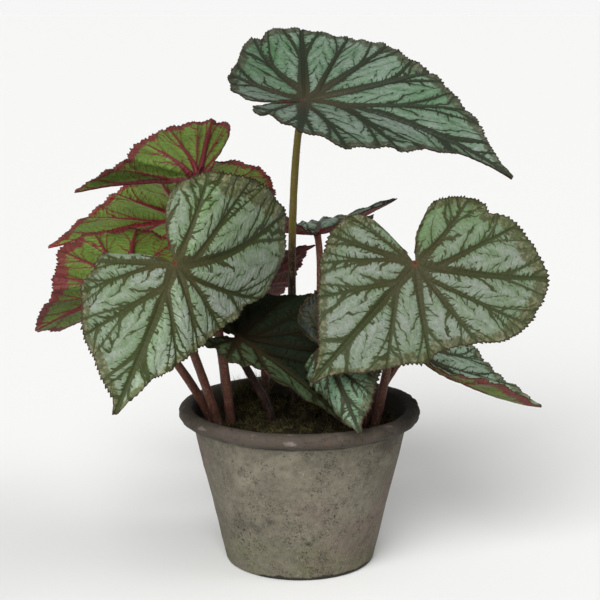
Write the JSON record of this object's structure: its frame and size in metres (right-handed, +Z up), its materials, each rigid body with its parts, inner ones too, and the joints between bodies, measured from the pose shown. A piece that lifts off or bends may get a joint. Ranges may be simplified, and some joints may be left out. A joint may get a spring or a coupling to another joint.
{
  "type": "potted begonia",
  "caption": "Potted foliage begonia: lopsided heart-shaped silvery leaves with toothed margins on bent hairy stalks, in a round tapered weathered pot, for indoor display.",
  "frame": {"origin": "middle of the pot's flat underside, where it stands", "axes": "+Z up along the pot's axis, +X to the right and +Y to the back as the picture shows it"},
  "size_m": [0.3139, 0.2566, 0.3263],
  "materials": {
    "pot": "weathered unglazed clay, mottled grey-brown with dark specks and pale smears",
    "soil": "damp dark potting mix with moss",
    "leaf": "silver-green leaf tissue with dark olive veins above, yellow-green with red veins below",
    "stalk": "red-brown hairy stalk"
  },
  "bodies": {
    "root": {"pot": "pot", "soil": "soil", "leaf_tall_blade": "leaf", "leaf_tall_stalk": "stalk", "leaf_front_left_blade": "leaf", "leaf_front_left_stalk": "stalk", "leaf_front_right_blade": "leaf", "leaf_front_right_stalk": "stalk", "leaf_upper_left_blade": "leaf", "leaf_upper_left_stalk": "stalk", "leaf_mid_left_blade": "leaf", "leaf_mid_left_stalk": "stalk", "leaf_low_left_blade": "leaf", "leaf_low_left_stalk": "stalk", "leaf_centre_blade": "leaf", "leaf_centre_stalk": "stalk", "leaf_centre_low_blade": "leaf", "leaf_centre_low_stalk": "stalk", "leaf_right_low_blade": "leaf", "leaf_right_low_stalk": "stalk", "leaf_back_right_blade": "leaf", "leaf_back_right_stalk": "stalk", "leaf_back_centre_blade": "leaf", "leaf_back_centre_stalk": "stalk"}
  },
  "joints": []
}
